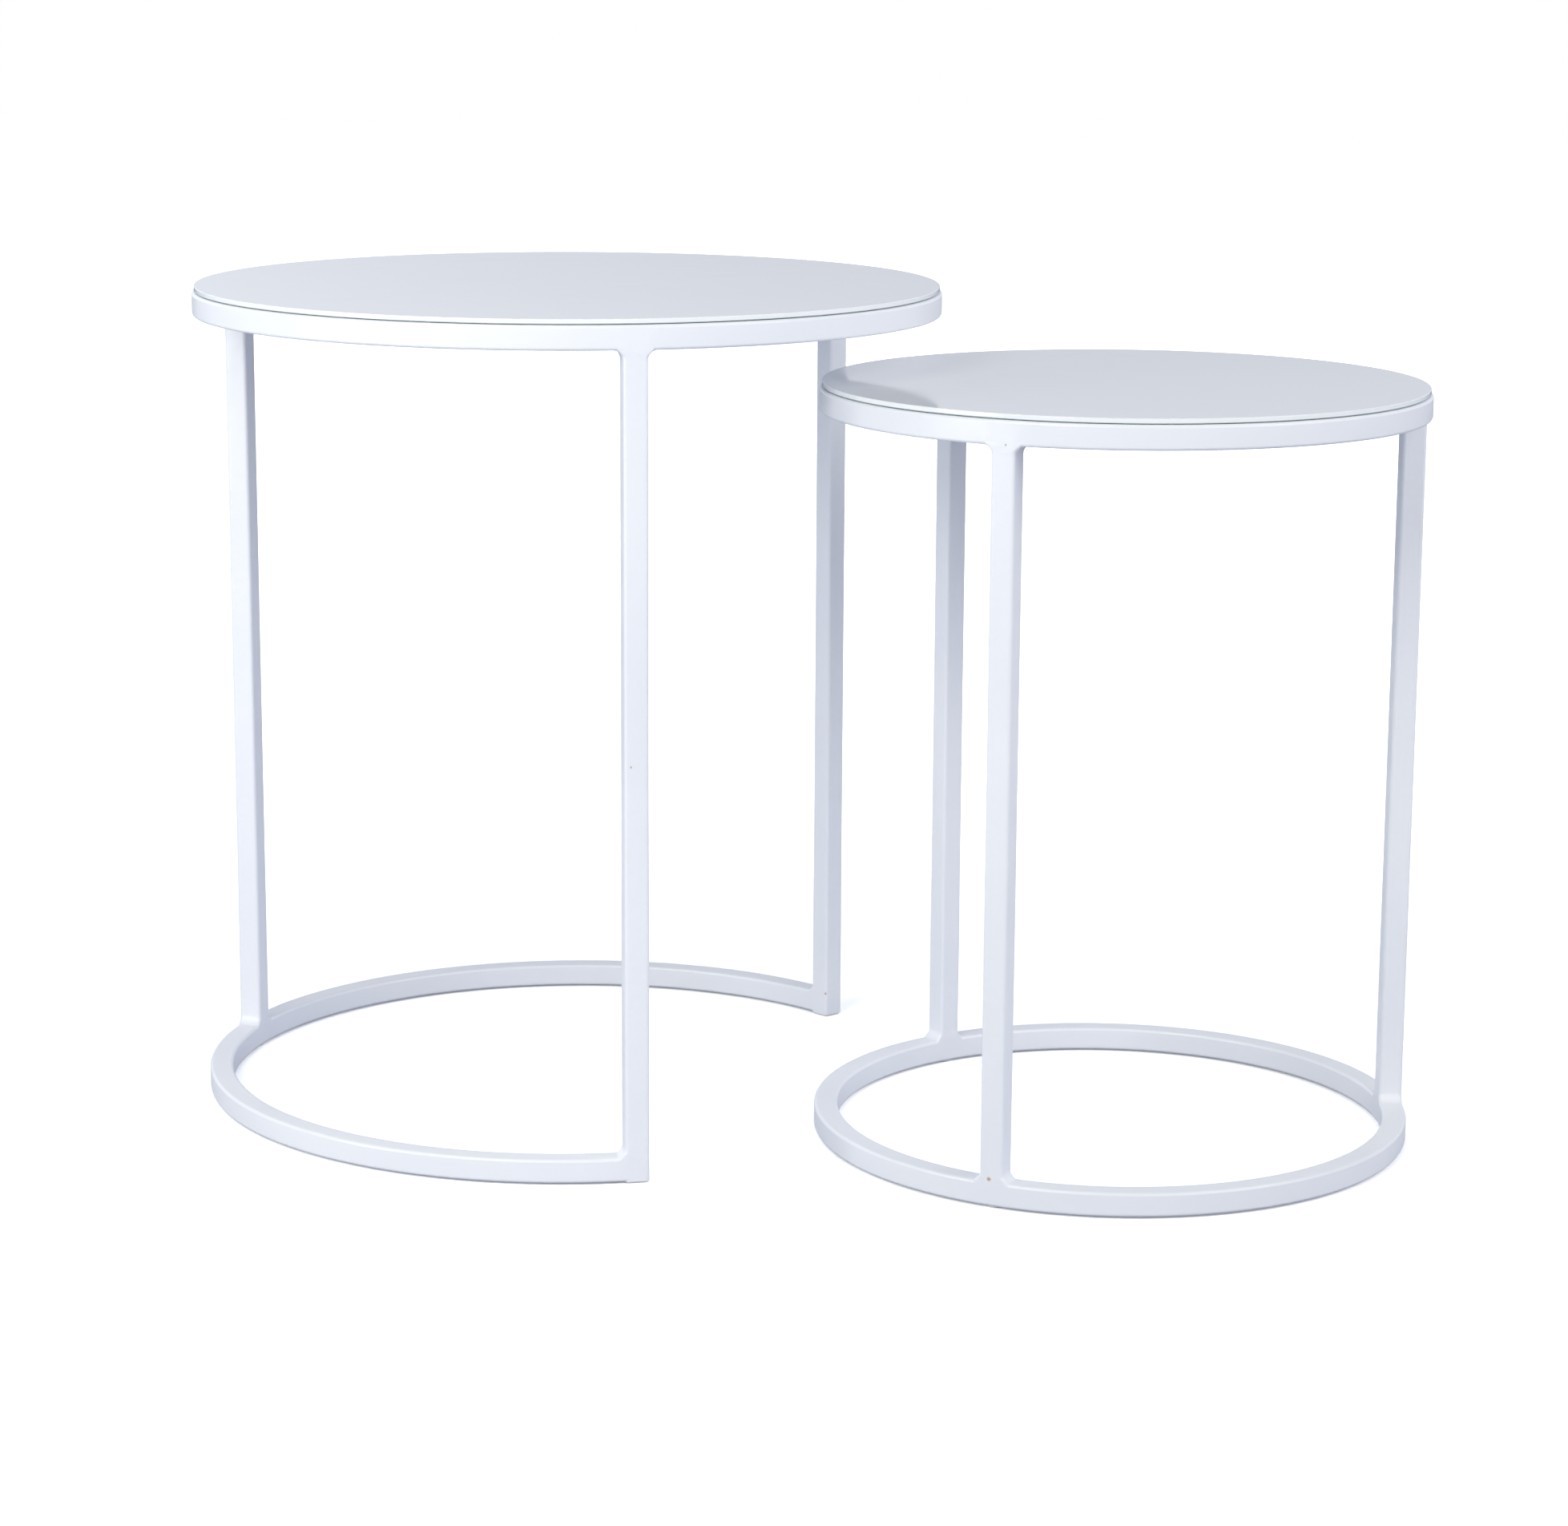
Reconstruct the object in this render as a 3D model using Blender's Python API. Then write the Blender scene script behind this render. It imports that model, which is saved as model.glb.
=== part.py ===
"""Two round nesting tables in welded square steel tube with white glass tops.

The large table stands on an open arc, and the small one stands on a closed ring
and slides along X through the arc's mouth until the two share one centre.
Metres, +Z up, floor at Z = 0, origin under the middle of the pair.
"""

import math

import bmesh
import bpy
from mathutils import Matrix, Vector

# Square tube, the same in both tables
TUBE = 0.016
TUBE_WALL = 0.0015
TUBE_CORNER = 0.002
CORNER_STEPS = 1

# The large table: size across its top ring, and height from the floor to the glass
LARGE_DIAMETER = 0.508
LARGE_HEIGHT = 0.560

# The small table: it passes between the large table's front and rear legs,
# and its glass passes under the large top ring
MOUTH_CLEARANCE = 0.0021
HEADROOM = 0.0322
SMALL_TURN = math.radians(21)

# How far the small table's centre stands from the large one's
PULLED_OUT = 0.388

# Glass tops, held on the rings by dots of clear silicone
GLASS = 0.003
GLASS_INSET = 0.0015
GLASS_ARRIS = 0.0004
BOND = 0.0004
BOND_RADIUS = 0.005
BONDS_PER_TABLE = 6

# Weld fillets beside each leg
WELD = 0.005
WELD_INSET = 0.0005
WELD_CROWN = 0.0003

# What meets the floor
GLIDE = 0.0012
GLIDE_RADIUS = 0.006
PLUG_INSET = 0.001
PLUG_DEPTH = 0.008
PLUG_SLACK = 0.0003

# Holes that let the closed rings drain and vent into the legs
VENT_RADIUS = 0.003
VENT_DRILL = 0.006

# Clearances between neighbouring pieces
JOINT_GAP = 0.0003
THIN_GAP = 0.0002

LEGS = 3
RING_FACETS = 60
GLASS_FACETS = 96
DOT_FACETS = 16
SHARP_ANGLE = math.radians(30)

FACET = math.tau / RING_FACETS
LEG_STEP = math.tau / LEGS

# Half the clear width of the mouth, from corner to corner of the front and rear legs
MOUTH_HALF = (
    (LARGE_DIAMETER - TUBE) / 2 * math.sin(LEG_STEP / 2)
    - TUBE / 2 * (math.sin(LEG_STEP / 2) + math.cos(LEG_STEP / 2))
)
SMALL_DIAMETER = 2 * (MOUTH_HALF - MOUTH_CLEARANCE)

PAIR_LENGTH = LARGE_DIAMETER / 2 + PULLED_OUT + SMALL_DIAMETER / 2
LARGE_X = LARGE_DIAMETER / 2 - PAIR_LENGTH / 2
SMALL_X = LARGE_X + PULLED_OUT

# The stack from the floor up
BASE_LOW = GLIDE + THIN_GAP
BASE_TOP = BASE_LOW + TUBE
TOP_STACK = GLASS + BOND + 2 * THIN_GAP
SMALL_HEIGHT = LARGE_HEIGHT - TOP_STACK - TUBE - HEADROOM


def clear_scene():
    for thing in list(bpy.data.objects):
        bpy.data.objects.remove(thing, do_unlink=True)


def make_material(name, colour, roughness, transmission=0.0):
    material = bpy.data.materials.new(name)
    material.use_nodes = True
    shader = material.node_tree.nodes["Principled BSDF"]
    shader.inputs["Base Color"].default_value = (*colour, 1.0)
    shader.inputs["Roughness"].default_value = roughness
    shader.inputs["Transmission Weight"].default_value = transmission
    material.diffuse_color = (*colour, 1.0)
    return material


def add_empty(name, place, turn):
    empty = bpy.data.objects.new(name, None)
    bpy.context.collection.objects.link(empty)
    empty.location = place
    empty.rotation_euler = (0, 0, turn)
    return empty


def add_object(name, shape, material, parent):
    """Turn a finished bmesh into a named object of one table."""
    mesh = bpy.data.meshes.new(name)
    shape.to_mesh(mesh)
    shape.free()
    mesh.materials.append(material)
    mesh.shade_smooth()
    mesh.set_sharp_from_angle(angle=SHARP_ANGLE)
    thing = bpy.data.objects.new(name, mesh)
    bpy.context.collection.objects.link(thing)
    thing.parent = parent
    return thing


def round_square(half, corner):
    """Points of a square about (0, 0), anticlockwise, each corner rounded in a few steps."""
    points = []
    for quarter in range(4):
        middle = math.pi / 4 + quarter * math.pi / 2
        centre_x = math.copysign(half - corner, math.cos(middle))
        centre_y = math.copysign(half - corner, math.sin(middle))
        for step in range(CORNER_STEPS + 1):
            turn = quarter * math.pi / 2 + step * math.pi / 2 / CORNER_STEPS
            points.append((centre_x + corner * math.cos(turn), centre_y + corner * math.sin(turn)))
    return points


def add_band(shape, near, far):
    """Faces from one loop of vertices to the next, pointing out of an anticlockwise loop."""
    for i in range(len(near)):
        shape.faces.new((near[i - 1], near[i], far[i], far[i - 1]))


def tube_shape(stations, closed=False):
    """Hollow square tube through stations, each a centre, an across and an up vector.

    Across x up points along the tube. A closed tube runs back into its start,
    and an open one has a flat rim at each end.
    """
    shape = bmesh.new()
    outside = round_square(TUBE / 2, TUBE_CORNER)
    bore = round_square(TUBE / 2 - TUBE_WALL, TUBE_CORNER - TUBE_WALL)
    skins = []
    for outline in (outside, bore):
        loops = [
            [shape.verts.new(centre + across * x + up * y) for x, y in outline]
            for centre, across, up in stations
        ]
        skins.append(loops)
        following = loops[1:] + loops[:1] if closed else loops[1:]
        for near, far in zip(loops, following):
            if outline is outside:
                add_band(shape, near, far)
            else:
                add_band(shape, far, near)
    if not closed:
        outer, inner = skins
        add_band(shape, inner[0], outer[0])
        add_band(shape, outer[-1], inner[-1])
    return shape


def solid_normals(shape):
    bmesh.ops.recalc_face_normals(shape, faces=shape.faces)


def leg_frame(azimuth):
    """Out from the table's centre, and sideways along the ring, at a leg."""
    out = Vector((math.cos(azimuth), math.sin(azimuth), 0))
    side = Vector((-math.sin(azimuth), math.cos(azimuth), 0))
    return out, side


def ring_station(radius, azimuth, height):
    """The tube's section on a corner between two facets of a ring."""
    out, _ = leg_frame(azimuth)
    across = out / math.cos(FACET / 2)
    return across * (radius - TUBE / 2) + Vector((0, 0, height)), across, Vector((0, 0, 1))


def ring_shape(radius, low):
    """A closed hoop of tube, with the middle of a facet on every leg."""
    azimuths = [-(i + 0.5) * FACET for i in range(RING_FACETS)]
    stations = [ring_station(radius, azimuth, low + TUBE / 2) for azimuth in azimuths]
    return tube_shape(stations, closed=True)


def vent_cutter(name, radius, height, azimuths, parent):
    """Short drills through one wall of a ring, in line with the legs' bores."""
    shape = bmesh.new()
    for azimuth in azimuths:
        out, _ = leg_frame(azimuth)
        place = Matrix.Translation(out * (radius - TUBE / 2) + Vector((0, 0, height)))
        bmesh.ops.create_cone(
            shape,
            cap_ends=True,
            segments=DOT_FACETS,
            radius1=VENT_RADIUS,
            radius2=VENT_RADIUS,
            depth=VENT_DRILL,
            matrix=place,
        )
    mesh = bpy.data.meshes.new(name)
    shape.to_mesh(mesh)
    shape.free()
    cutter = bpy.data.objects.new(name, mesh)
    bpy.context.collection.objects.link(cutter)
    cutter.parent = parent
    cutter.hide_render = True
    cutter.display_type = "WIRE"
    return cutter


def drill(thing, cutter):
    cut = thing.modifiers.new("vents", "BOOLEAN")
    cut.operation = "DIFFERENCE"
    cut.solver = "EXACT"
    cut.object = cutter


def butt_station(radius, azimuth, height, direction):
    """The tube's square-cut end against one side of the leg at azimuth."""
    out, side = leg_frame(azimuth)
    place = out * (radius - TUBE / 2) + side * direction * (TUBE / 2 + JOINT_GAP)
    return place + Vector((0, 0, height)), out, Vector((0, 0, 1))


def arc_shape(radius, low, first_leg, last_leg):
    """An open arc of tube, from the back of last_leg round to the front of first_leg."""
    height = low + TUBE / 2
    corners = round((last_leg - first_leg) / FACET)
    stations = [butt_station(radius, last_leg, height, -1)]
    for i in range(corners):
        stations.append(ring_station(radius, last_leg - (i + 0.5) * FACET, height))
    stations.append(butt_station(radius, first_leg, height, 1))
    return tube_shape(stations)


def leg_shape(radius, azimuth, low, top):
    """A straight leg of tube, open at both ends, its outer face in line with the ring's."""
    out, side = leg_frame(azimuth)
    middle = out * (radius - TUBE / 2)
    return tube_shape([(middle + Vector((0, 0, z)), out, side) for z in (low, top)])


def weld_shape(radius, azimuth, direction, corner_height, rise):
    """A fillet of weld in the corner between a leg's side and a ring, as deep as the tube.

    direction is the side of the leg, +1 or -1, and rise is +1 above a base
    and -1 under a top ring.
    """
    shape = bmesh.new()
    out, side = leg_frame(azimuth)
    near = THIN_GAP
    middle = (near + WELD) / 2 + WELD_CROWN
    outline = [(near, near), (WELD, near), (middle, middle), (near, WELD)]
    back = radius - TUBE + WELD_INSET
    points = [
        out * back
        + side * direction * (TUBE / 2 + along)
        + Vector((0, 0, corner_height + rise * up))
        for along, up in outline
    ]
    face = shape.faces.new([shape.verts.new(point) for point in points])
    made = bmesh.ops.extrude_face_region(shape, geom=[face])["geom"]
    verts = [item for item in made if isinstance(item, bmesh.types.BMVert)]
    bmesh.ops.translate(shape, verts=verts, vec=out * (TUBE - 2 * WELD_INSET))
    solid_normals(shape)
    return shape


def disc_shape(radius, low, thickness, facets, place=(0, 0), arris=0.0):
    """A flat disc, its two rims ground back by an arris where it has one."""
    shape = bmesh.new()
    bmesh.ops.create_cone(
        shape,
        cap_ends=True,
        segments=facets,
        radius1=radius,
        radius2=radius,
        depth=thickness,
        matrix=Matrix.Translation((*place, low + thickness / 2)),
    )
    if arris:
        rims = [edge for edge in shape.edges if any(len(f.verts) > 4 for f in edge.link_faces)]
        bmesh.ops.bevel(
            shape,
            geom=rims,
            offset=arris,
            offset_type="OFFSET",
            segments=1,
            affect="EDGES",
            profile=0.5,
        )
    solid_normals(shape)
    return shape


def plug_shape(radius, azimuth):
    """A square end plug: a flange on the floor, and a stub up inside the leg's bore."""
    shape = bmesh.new()
    out, side = leg_frame(azimuth)
    middle = out * (radius - TUBE / 2)
    flange_half = TUBE / 2 - PLUG_INSET
    flange = round_square(flange_half, TUBE_CORNER - PLUG_INSET)
    face = shape.faces.new([shape.verts.new(middle + out * x + side * y) for x, y in flange])
    made = bmesh.ops.extrude_face_region(shape, geom=[face])["geom"]
    verts = [item for item in made if isinstance(item, bmesh.types.BMVert)]
    bmesh.ops.translate(shape, verts=verts, vec=(0, 0, GLIDE))
    top = next(item for item in made if isinstance(item, bmesh.types.BMFace))
    stub_half = TUBE / 2 - TUBE_WALL - PLUG_SLACK
    bmesh.ops.inset_region(shape, faces=[top], thickness=flange_half - stub_half)
    raised = bmesh.ops.extrude_face_region(shape, geom=[top])["geom"]
    verts = [item for item in raised if isinstance(item, bmesh.types.BMVert)]
    bmesh.ops.translate(shape, verts=verts, vec=(0, 0, PLUG_DEPTH))
    bmesh.ops.delete(shape, geom=[top], context="FACES_ONLY")
    solid_normals(shape)
    return shape


def add_top(table, diameter, height, first_leg, parent, paint, glass, silicone):
    """A top ring, the glass above it and the silicone dots between the two."""
    radius = diameter / 2
    ring_low = height - TOP_STACK - TUBE
    azimuths = [first_leg + i * LEG_STEP for i in range(LEGS)]
    ring = add_object(f"{table}_top_ring", ring_shape(radius, ring_low), paint, parent)
    drill(ring, vent_cutter(f"{table}_top_vents", radius, ring_low, azimuths, parent))
    add_object(
        f"{table}_glass",
        disc_shape(
            radius - GLASS_INSET, height - GLASS, GLASS, GLASS_FACETS, arris=GLASS_ARRIS
        ),
        glass,
        parent,
    )
    for number in range(BONDS_PER_TABLE):
        out, _ = leg_frame(first_leg + (number + 0.5) * math.tau / BONDS_PER_TABLE)
        place = out * (radius - TUBE / 2)
        dot = disc_shape(
            BOND_RADIUS, ring_low + TUBE + THIN_GAP, BOND, DOT_FACETS, place=(place.x, place.y)
        )
        add_object(f"{table}_glass_bond_{number + 1}", dot, silicone, parent)
    return ring_low


def add_leg(name, radius, azimuth, low, ring_low, weld_corners, parent, paint):
    """A leg and its weld fillets. weld_corners holds (side of the leg, height, rise)."""
    leg = leg_shape(radius, azimuth, low, ring_low - JOINT_GAP)
    add_object(name, leg, paint, parent)
    for number, (direction, height, rise) in enumerate(weld_corners):
        fillet = weld_shape(radius, azimuth, direction, height, rise)
        add_object(f"{name}_weld_{number + 1}", fillet, paint, parent)


def add_glide(name, radius, azimuth, parent, nylon):
    out, _ = leg_frame(azimuth)
    place = out * (radius - TUBE / 2)
    glide = disc_shape(GLIDE_RADIUS, 0, GLIDE, DOT_FACETS, place=(place.x, place.y))
    add_object(name, glide, nylon, parent)


def build_large(paint, glass, silicone, nylon):
    """The large table. Its arc runs from the front leg round the left to the rear leg."""
    table = add_empty("large_table", (LARGE_X, 0, 0), 0)
    radius = LARGE_DIAMETER / 2
    left = math.pi
    rear = left - LEG_STEP
    front = left + LEG_STEP
    ring_low = add_top(
        "large", LARGE_DIAMETER, LARGE_HEIGHT, left, table, paint, glass, silicone
    )
    arc = arc_shape(radius, BASE_LOW, rear, front)
    base = add_object("large_base_arc", arc, paint, table)
    drill(base, vent_cutter("large_base_vent", radius, BASE_TOP, [left], table))
    under_ring = [(-1, ring_low, -1), (1, ring_low, -1)]
    on_base = [(-1, BASE_TOP, 1), (1, BASE_TOP, 1)]
    left_foot = BASE_TOP + JOINT_GAP
    add_leg(
        "large_left_leg", radius, left, left_foot, ring_low, under_ring + on_base, table, paint
    )
    add_leg(
        "large_front_leg", radius, front, BASE_LOW, ring_low, under_ring + on_base[:1], table, paint
    )
    add_leg(
        "large_rear_leg", radius, rear, BASE_LOW, ring_low, under_ring + on_base[1:], table, paint
    )
    add_glide("large_left_glide", radius, left, table, nylon)
    add_object("large_front_plug", plug_shape(radius, front), nylon, table)
    add_object("large_rear_plug", plug_shape(radius, rear), nylon, table)


def build_small(paint, glass, silicone, nylon):
    """The small table, on a closed base ring. Its legs stand on that ring."""
    table = add_empty("small_table", (SMALL_X, 0, 0), SMALL_TURN)
    radius = SMALL_DIAMETER / 2
    ring_low = add_top("small", SMALL_DIAMETER, SMALL_HEIGHT, 0, table, paint, glass, silicone)
    azimuths = [i * LEG_STEP for i in range(LEGS)]
    base = add_object("small_base_ring", ring_shape(radius, BASE_LOW), paint, table)
    drill(base, vent_cutter("small_base_vents", radius, BASE_TOP, azimuths, table))
    corners = [(-1, ring_low, -1), (1, ring_low, -1), (-1, BASE_TOP, 1), (1, BASE_TOP, 1)]
    for place, azimuth in zip(("right", "rear", "front"), azimuths):
        add_leg(
            f"small_{place}_leg",
            radius,
            azimuth,
            BASE_TOP + JOINT_GAP,
            ring_low,
            corners,
            table,
            paint,
        )
        add_glide(f"small_{place}_glide", radius, azimuth, table, nylon)


def main():
    clear_scene()
    paint = make_material("white_powder_coat", (0.86, 0.87, 0.89), 0.38)
    glass = make_material("white_backed_glass", (0.78, 0.81, 0.84), 0.06)
    silicone = make_material("clear_silicone", (0.80, 0.84, 0.84), 0.30, transmission=0.6)
    nylon = make_material("white_nylon", (0.80, 0.80, 0.78), 0.45)
    build_large(paint, glass, silicone, nylon)
    build_small(paint, glass, silicone, nylon)


main()
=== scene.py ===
# %% [markdown]
# # Two round nesting tables in white tube and glass
#
# A tall table stands on an open arc, and a lower one on a closed ring. Both have a
# hoop of square tube at the top, three upright legs, and a thin glass disc that is
# painted white on its underside. This lesson loads the engineering model as a fixed
# frame, models each welded frame as one skin, saws it into its pieces, and then gives
# every piece a procedural material of its own.

# %% Load the frame
import math

import bmesh
import bpy
from mathutils import Matrix, Vector


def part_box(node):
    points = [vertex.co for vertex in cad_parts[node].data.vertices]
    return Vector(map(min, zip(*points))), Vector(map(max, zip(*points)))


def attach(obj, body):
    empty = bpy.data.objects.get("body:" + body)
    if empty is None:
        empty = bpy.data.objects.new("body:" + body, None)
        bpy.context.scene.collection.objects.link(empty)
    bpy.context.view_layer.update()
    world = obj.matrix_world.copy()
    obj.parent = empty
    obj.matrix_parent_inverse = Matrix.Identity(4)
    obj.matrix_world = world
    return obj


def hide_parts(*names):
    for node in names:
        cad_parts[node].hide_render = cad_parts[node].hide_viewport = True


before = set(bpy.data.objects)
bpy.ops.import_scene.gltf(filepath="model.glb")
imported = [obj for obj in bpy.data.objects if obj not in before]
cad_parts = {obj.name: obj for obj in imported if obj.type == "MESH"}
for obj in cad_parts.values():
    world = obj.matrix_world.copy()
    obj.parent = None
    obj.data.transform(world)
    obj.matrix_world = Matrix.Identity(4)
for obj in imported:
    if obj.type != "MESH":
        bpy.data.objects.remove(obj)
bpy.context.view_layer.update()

# %% [markdown]
# ## Measures
#
# Nothing is measured twice. The tube, the hoops, the heights and the centres all come
# from the boxes of the engineering nodes, so the looks can't drift from the model.
# Only what those boxes can't say is named here, such as how round the tube's edges are,
# how far a weld fillet reaches, how far past it the saw goes, how the low table is
# turned, and how thick the white coat under the glass is. TOUCH is how close two points
# have to be to count as one place.

# %% Measures
TUBE_EDGE = 0.0022
EDGE_STEPS = 4
WELD = 0.0038
SAW = 0.0022
HOOP_STEPS = 42
LEG_STEP = math.tau / 3
SMALL_TURN = math.radians(21)
TOUCH = 1e-5
UNDERCOAT = 0.0003


def table_measures(name, turn, base):
    """One table's centre and heights. turn is the azimuth of its first leg."""
    ring_low, ring_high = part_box(f"{name}_top_ring")
    glass_low, glass_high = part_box(f"{name}_glass")
    base_low, base_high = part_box(base)
    centre = (glass_low + glass_high) / 2
    return {
        "name": name,
        "centre": Vector((centre.x, centre.y, 0)),
        "turn": turn,
        "tube": ring_high.z - ring_low.z,
        "glass_radius": (glass_high.x - glass_low.x) / 2,
        "glass_low": glass_low.z - UNDERCOAT,
        "glass_top": glass_high.z,
        "floor": base_low.z,
        "base_top": base_high.z,
        "ring_low": ring_low.z,
        "ring_top": ring_high.z,
    }


LARGE = table_measures("large", math.pi, "large_base_arc")
SMALL = table_measures("small", SMALL_TURN, "small_base_ring")
GLASS_INSET = LARGE["centre"].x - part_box("large_left_leg")[0].x - LARGE["glass_radius"]
for table in (LARGE, SMALL):
    table["radius"] = table["glass_radius"] + GLASS_INSET
    for measure in ("radius", "tube", "glass_top"):
        print(table["name"], measure, "in mm:", round(table[measure] * 1000, 1))

# %% [markdown]
# ## Helpers for working by hand
#
# Blender's mesh operators act on whatever is selected. So every step first says which
# faces or edges it means, by where they are, and only then calls the operator. These
# helpers open a piece for editing, select by place, and close it again.

# %% Helpers for modelling
SMOOTH_ANGLE = math.radians(35)
FLAT_FACE_WEIGHT = 60


def only(piece):
    bpy.ops.object.select_all(action="DESELECT")
    bpy.context.view_layer.objects.active = piece
    piece.select_set(True)


def open_piece(piece):
    only(piece)
    bpy.ops.object.mode_set(mode="EDIT")


def close_piece():
    bpy.ops.object.mode_set(mode="OBJECT")


def choose(piece, kind, test):
    """Select the faces or edges whose middle passes the test, and nothing else."""
    bpy.ops.mesh.select_mode(type=kind)
    bpy.ops.mesh.select_all(action="DESELECT")
    shape = bmesh.from_edit_mesh(piece.data)
    chosen = 0
    for item in shape.faces if kind == "FACE" else shape.edges:
        middle = sum((vert.co for vert in item.verts), Vector()) / len(item.verts)
        if test(middle):
            item.select_set(True)
            chosen += 1
    bmesh.update_edit_mesh(piece.data)
    return chosen


def choose_all():
    bpy.ops.mesh.select_all(action="SELECT")


def apply_modifier(piece, name, kind, **settings):
    only(piece)
    modifier = piece.modifiers.new(name, kind)
    for setting, value in settings.items():
        setattr(modifier, setting, value)
    bpy.ops.object.modifier_apply(modifier=name)


def settle(piece):
    """Move the piece's place and size into its mesh, so that its object is at the origin."""
    only(piece)
    bpy.ops.object.transform_apply(location=True, rotation=True, scale=True)


def shade(piece):
    """Flat faces shade flat, and rounded edges shade round."""
    only(piece)
    bpy.ops.object.shade_smooth_by_angle(angle=SMOOTH_ANGLE)
    apply_modifier(
        piece, "normals", "WEIGHTED_NORMAL", keep_sharp=True, weight=FLAT_FACE_WEIGHT
    )


# %% [markdown]
# ## The frame, first as a paper skin
#
# A welded frame shows no seams. The legs run into the hoops, and the fillets of weld
# are smoothed and painted over. Tubes that are only pushed together would show a line
# at every joint. So the frame starts as the outer skin of a drum, one third of it at a
# time: a flat strip for a leg, a narrow strip on each side of it as wide as a weld
# fillet, and a spun wall as far as the next leg.

# %% One third of the drum
def drum_third(table):
    """A leg's strip, its two fillet strips and the wall to the next leg, with the leg on +X."""
    half = table["tube"] / 2
    corner = math.hypot(table["radius"], half)
    toe = half + WELD
    toe_x = math.sqrt(corner**2 - toe**2)
    height = table["ring_top"] - table["floor"]
    bpy.ops.object.select_all(action="DESELECT")
    bpy.ops.mesh.primitive_plane_add(
        size=1,
        location=(table["radius"], 0, table["floor"] + height / 2),
        rotation=(0, math.pi / 2, 0),
    )
    skin = bpy.context.object
    skin.name = f"{table['name']}_skin"
    skin.scale = (height, 2 * half, 1)
    settle(skin)
    open_piece(skin)
    for way in (-1, 1):
        choose(skin, "EDGE", lambda p: abs(p.y - way * half) < TOUCH)
        bpy.ops.mesh.extrude_region_move(
            TRANSFORM_OT_translate={"value": (toe_x - table["radius"], way * WELD, 0)}
        )
    choose(skin, "EDGE", lambda p: abs(p.y - toe) < TOUCH)
    sweep = LEG_STEP - 2 * math.atan2(toe, toe_x)
    bpy.ops.mesh.spin(steps=HOOP_STEPS, angle=-sweep, center=(0, 0, 0), axis=(0, 0, 1))
    close_piece()
    return skin


# %% [markdown]
# ## Windows between the legs
#
# Bisect scores the skin level with the underside of the hoop and with the top of the
# base, and again a weld's width inside them. It then scores each corner across at 45
# degrees. Deleting what lies between leaves a leg with a small triangle in each
# corner: the fillets of weld, in one sheet with the tubes they join.

# %% Cut the windows
def cut_windows(skin, table):
    half = table["tube"] / 2
    seats = ((table["ring_low"], -1), (table["base_top"], 1))
    open_piece(skin)
    for height, rise in seats:
        for level in (height, height + rise * WELD):
            choose_all()
            bpy.ops.mesh.bisect(plane_co=(0, 0, level), plane_no=(0, 0, 1))
    for height, rise in seats:
        for way in (-1, 1):
            middle = Vector((0, way * (half + WELD / 2), height + rise * WELD / 2))

            def in_corner(p):
                beside = abs(p.y - middle.y) < WELD / 2 and abs(p.z - middle.z) < WELD / 2
                return beside and p.x > 0

            choose(skin, "FACE", in_corner)
            bpy.ops.mesh.bisect(plane_co=middle, plane_no=(0, way, rise))

    def in_window(p):
        from_leg = abs(p.y) - half if p.x > 0 else WELD
        from_seat = min(table["ring_low"] - p.z, p.z - table["base_top"])
        return from_leg > 0 and from_seat > 0 and from_leg + from_seat > WELD

    cut = choose(skin, "FACE", in_window)
    bpy.ops.mesh.delete(type="FACE")
    close_piece()
    print(skin.name, "window faces cut:", cut)


# %% [markdown]
# ## Round the drum
#
# One third is enough work for all three. Spin with copies repeats it round the table's
# axis, and merging the doubled points closes the sheet. The tall table then loses the
# side of its base that faces the low one, so that the low table can slide in, and the
# two legs beside that mouth run on down: they are cut off square later, because a sawn
# tube end is sharp where a bent tube is round.

# %% Close the drum and open the mouth
FOOT_SPARE = 3 * TUBE_EDGE


def azimuth_from_first_leg(p):
    return math.atan2(p.y, p.x) % math.tau


def close_drum(skin):
    open_piece(skin)
    choose_all()
    bpy.ops.mesh.spin(
        steps=2, dupli=True, angle=-2 * LEG_STEP, center=(0, 0, 0), axis=(0, 0, 1)
    )
    choose_all()
    bpy.ops.mesh.remove_doubles(threshold=TOUCH)
    choose_all()
    bpy.ops.mesh.normals_make_consistent(inside=False)
    close_piece()


def open_mouth(skin, table):
    """Remove the base between the second and third legs, and run those two legs down."""
    half_leg = math.atan2(table["tube"] / 2, table["radius"])
    low = table["base_top"] + WELD

    def in_mouth(p):
        turn = azimuth_from_first_leg(p)
        return LEG_STEP + half_leg < turn < 2 * LEG_STEP - half_leg and p.z < low

    open_piece(skin)
    cut = choose(skin, "FACE", in_mouth)
    bpy.ops.mesh.delete(type="FACE")

    def foot(p):
        turn = azimuth_from_first_leg(p)
        beside = min(abs(turn - LEG_STEP), abs(turn - 2 * LEG_STEP))
        return beside < TOUCH and p.z - table["floor"] < TOUCH

    feet = choose(skin, "EDGE", foot)
    bpy.ops.mesh.extrude_region_move(TRANSFORM_OT_translate={"value": (0, 0, -FOOT_SPARE)})
    close_piece()
    print(skin.name, "mouth faces cut:", cut, "feet run on:", feet)


# %% [markdown]
# ## From paper to tube
#
# Solidify gives the sheet the depth of the tube, inwards, so the outer size stays as
# drawn. Bevel then rounds every long edge as a rolled tube's edges are round. It also
# rounds the foot and the toe of each weld, which is what makes a fillet look poured.

# %% Thicken and round
CORNER_ANGLE = math.radians(30)


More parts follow.
